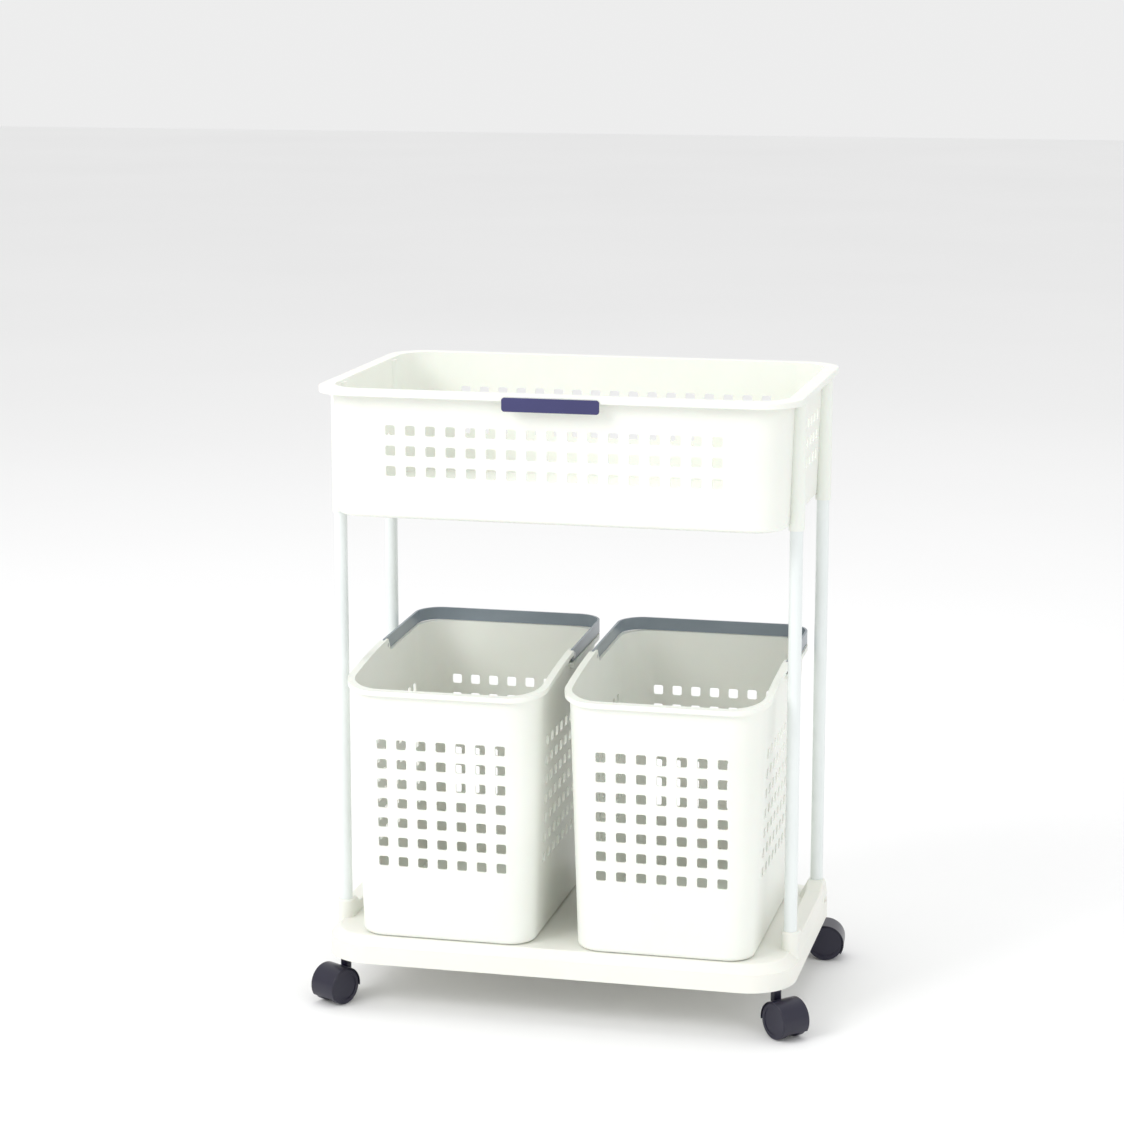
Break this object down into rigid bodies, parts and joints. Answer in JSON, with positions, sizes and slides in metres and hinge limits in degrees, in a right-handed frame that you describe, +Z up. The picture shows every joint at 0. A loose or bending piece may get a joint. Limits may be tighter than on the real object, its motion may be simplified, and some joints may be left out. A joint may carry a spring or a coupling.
{
  "type": "wheeled laundry sorter",
  "caption": "Slim wheeled laundry sorter with pull-out lidless vented baskets under a fixed vented basket held on four poles.",
  "frame": {"origin": "centre of the footprint on the floor", "axes": "+Z up, +X to the right as seen from the badge side, -Y towards the badge (front)"},
  "size_m": [0.5121, 0.3126, 0.626],
  "materials": {
    "tray_plastic": "satin",
    "basket_plastic": "satin",
    "pole_steel": "satin",
    "handle_metal": "satin",
    "plain_steel": "satin",
    "caster_plastic": "satin",
    "wheel_plastic": "satin",
    "badge_plastic": "gloss"
  },
  "bodies": {
    "trolley": {"base_tray": "tray_plastic", "pole_front_left": "pole_steel", "pole_front_right": "pole_steel", "pole_rear_left": "pole_steel", "pole_rear_right": "pole_steel", "top_basket": "basket_plastic", "front_badge": "badge_plastic", "caster_front_left_pin": "plain_steel", "caster_front_right_pin": "plain_steel", "caster_rear_left_pin": "plain_steel", "caster_rear_right_pin": "plain_steel"},
    "left_basket_body": {"left_basket": "basket_plastic", "left_handle_rivets": "plain_steel"},
    "left_handle_body": {"left_handle": "handle_metal"},
    "right_basket_body": {"right_basket": "basket_plastic", "right_handle_rivets": "plain_steel"},
    "right_handle_body": {"right_handle": "handle_metal"},
    "caster_front_left": {"caster_front_left_housing": "caster_plastic", "caster_front_left_axle": "plain_steel"},
    "caster_front_left_roller_a": {"caster_front_left_wheel_a": "wheel_plastic"},
    "caster_front_left_roller_b": {"caster_front_left_wheel_b": "wheel_plastic"},
    "caster_front_right": {"caster_front_right_housing": "caster_plastic", "caster_front_right_axle": "plain_steel"},
    "caster_front_right_roller_a": {"caster_front_right_wheel_a": "wheel_plastic"},
    "caster_front_right_roller_b": {"caster_front_right_wheel_b": "wheel_plastic"},
    "caster_rear_left": {"caster_rear_left_housing": "caster_plastic", "caster_rear_left_axle": "plain_steel"},
    "caster_rear_left_roller_a": {"caster_rear_left_wheel_a": "wheel_plastic"},
    "caster_rear_left_roller_b": {"caster_rear_left_wheel_b": "wheel_plastic"},
    "caster_rear_right": {"caster_rear_right_housing": "caster_plastic", "caster_rear_right_axle": "plain_steel"},
    "caster_rear_right_roller_a": {"caster_rear_right_wheel_a": "wheel_plastic"},
    "caster_rear_right_roller_b": {"caster_rear_right_wheel_b": "wheel_plastic"}
  },
  "joints": [
    {"name": "left_basket_pull", "type": "slide", "parent": "trolley", "child": "left_basket_body", "axis": [0, -1, 0], "range_m": [0, 0.25]},
    {"name": "left_handle_lift", "type": "hinge", "parent": "left_basket_body", "child": "left_handle_body", "pos_m": [-0.11, -0.005, 0.3413], "axis": [1, 0, 0], "range_deg": [0, 90]},
    {"name": "right_basket_pull", "type": "slide", "parent": "trolley", "child": "right_basket_body", "axis": [0, -1, 0], "range_m": [0, 0.25]},
    {"name": "right_handle_lift", "type": "hinge", "parent": "right_basket_body", "child": "right_handle_body", "pos_m": [0.11, -0.005, 0.3413], "axis": [1, 0, 0], "range_deg": [0, 90]},
    {"name": "front_left_swivel", "type": "hinge", "parent": "trolley", "child": "caster_front_left", "pos_m": [-0.2195, -0.118, 0.038], "axis": [0, 0, 1], "continuous": true},
    {"name": "front_left_wheel_a_spin", "type": "hinge", "parent": "caster_front_left", "child": "caster_front_left_roller_a", "pos_m": [-0.22666, -0.13118, 0.0183], "axis": [0.8788, -0.4772, 0], "continuous": true},
    {"name": "front_left_wheel_b_spin", "type": "hinge", "parent": "caster_front_left", "child": "caster_front_left_roller_b", "pos_m": [-0.22666, -0.13118, 0.0183], "axis": [0.8788, -0.4772, 0], "continuous": true},
    {"name": "front_right_swivel", "type": "hinge", "parent": "trolley", "child": "caster_front_right", "pos_m": [0.2195, -0.118, 0.038], "axis": [0, 0, 1], "continuous": true},
    {"name": "front_right_wheel_a_spin", "type": "hinge", "parent": "caster_front_right", "child": "caster_front_right_roller_a", "pos_m": [0.23029, -0.12842, 0.0183], "axis": [0.6947, 0.7193, 0], "continuous": true},
    {"name": "front_right_wheel_b_spin", "type": "hinge", "parent": "caster_front_right", "child": "caster_front_right_roller_b", "pos_m": [0.23029, -0.12842, 0.0183], "axis": [0.6947, 0.7193, 0], "continuous": true},
    {"name": "rear_left_swivel", "type": "hinge", "parent": "trolley", "child": "caster_rear_left", "pos_m": [-0.2195, 0.118, 0.038], "axis": [0, 0, 1], "continuous": true},
    {"name": "rear_left_wheel_a_spin", "type": "hinge", "parent": "caster_rear_left", "child": "caster_rear_left_roller_a", "pos_m": [-0.23249, 0.1255, 0.0183], "axis": [-0.5, -0.866, 0], "continuous": true},
    {"name": "rear_left_wheel_b_spin", "type": "hinge", "parent": "caster_rear_left", "child": "caster_rear_left_roller_b", "pos_m": [-0.23249, 0.1255, 0.0183], "axis": [-0.5, -0.866, 0], "continuous": true},
    {"name": "rear_right_swivel", "type": "hinge", "parent": "trolley", "child": "caster_rear_right", "pos_m": [0.2195, 0.118, 0.038], "axis": [0, 0, 1], "continuous": true},
    {"name": "rear_right_wheel_a_spin", "type": "hinge", "parent": "caster_rear_right", "child": "caster_rear_right_roller_a", "pos_m": [0.23444, 0.11931, 0.0183], "axis": [-0.0872, 0.9962, 0], "continuous": true},
    {"name": "rear_right_wheel_b_spin", "type": "hinge", "parent": "caster_rear_right", "child": "caster_rear_right_roller_b", "pos_m": [0.23444, 0.11931, 0.0183], "axis": [-0.0872, 0.9962, 0], "continuous": true}
  ]
}
